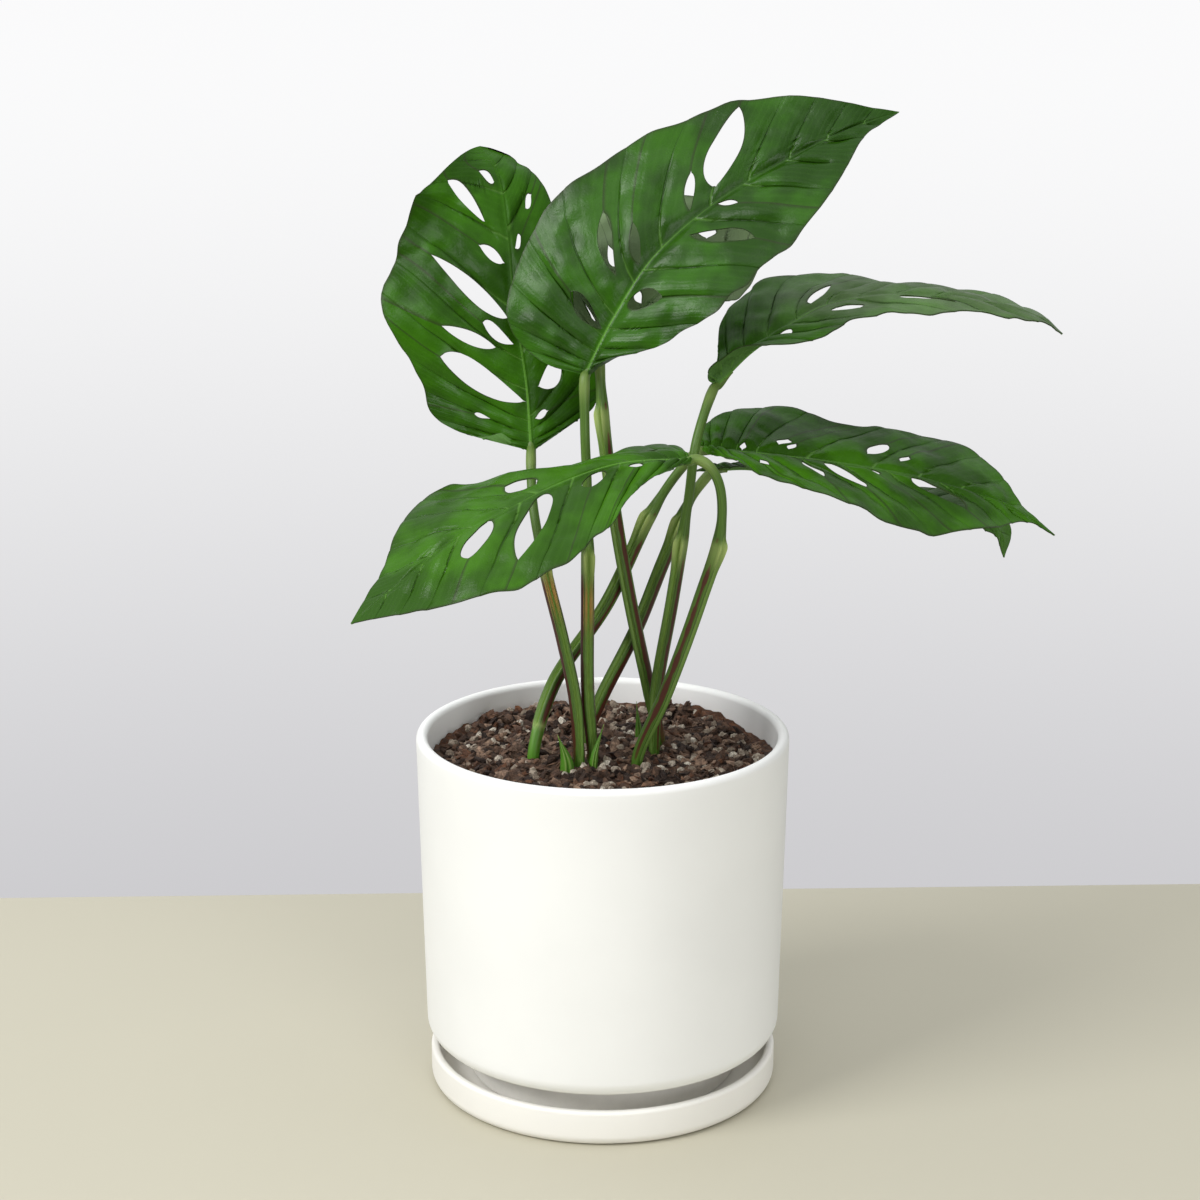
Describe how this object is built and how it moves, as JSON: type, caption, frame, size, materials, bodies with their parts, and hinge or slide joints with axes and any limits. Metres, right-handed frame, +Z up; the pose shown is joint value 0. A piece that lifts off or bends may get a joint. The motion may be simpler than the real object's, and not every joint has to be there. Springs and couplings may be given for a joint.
{
  "type": "potted swiss cheese vine",
  "caption": "Young climbing house plant with holed heart-shaped leaves on channelled stalks, growing in soil in a round ceramic pot that stands on its saucer.",
  "frame": {"origin": "centre of the saucer's underside, on the surface it stands on", "axes": "+Z up along the pot's axis, +X to the viewer's right, +Y away from the viewer"},
  "size_m": [0.2824, 0.1693, 0.4036],
  "materials": {
    "pot_ceramic": "matte",
    "saucer_ceramic": "matte",
    "soil": "rough",
    "leaf": "glossy",
    "stalk": "satin",
    "sprout": "satin"
  },
  "bodies": {
    "root": {"saucer": "saucer_ceramic", "pot": "pot_ceramic", "soil": "soil", "stalk_back_left": "stalk", "stalk_top": "stalk", "stalk_right_upper": "stalk", "stalk_left_lower": "stalk", "stalk_right_lower": "stalk", "stalk_behind_top": "stalk", "stalk_under_right": "stalk", "leaf_back_left": "leaf", "leaf_top": "leaf", "leaf_right_upper": "leaf", "leaf_left_lower": "leaf", "leaf_right_lower": "leaf", "leaf_behind_top": "leaf", "leaf_under_right": "leaf", "sprout_left": "sprout", "sprout_middle": "sprout", "sprout_right": "sprout"}
  },
  "joints": []
}
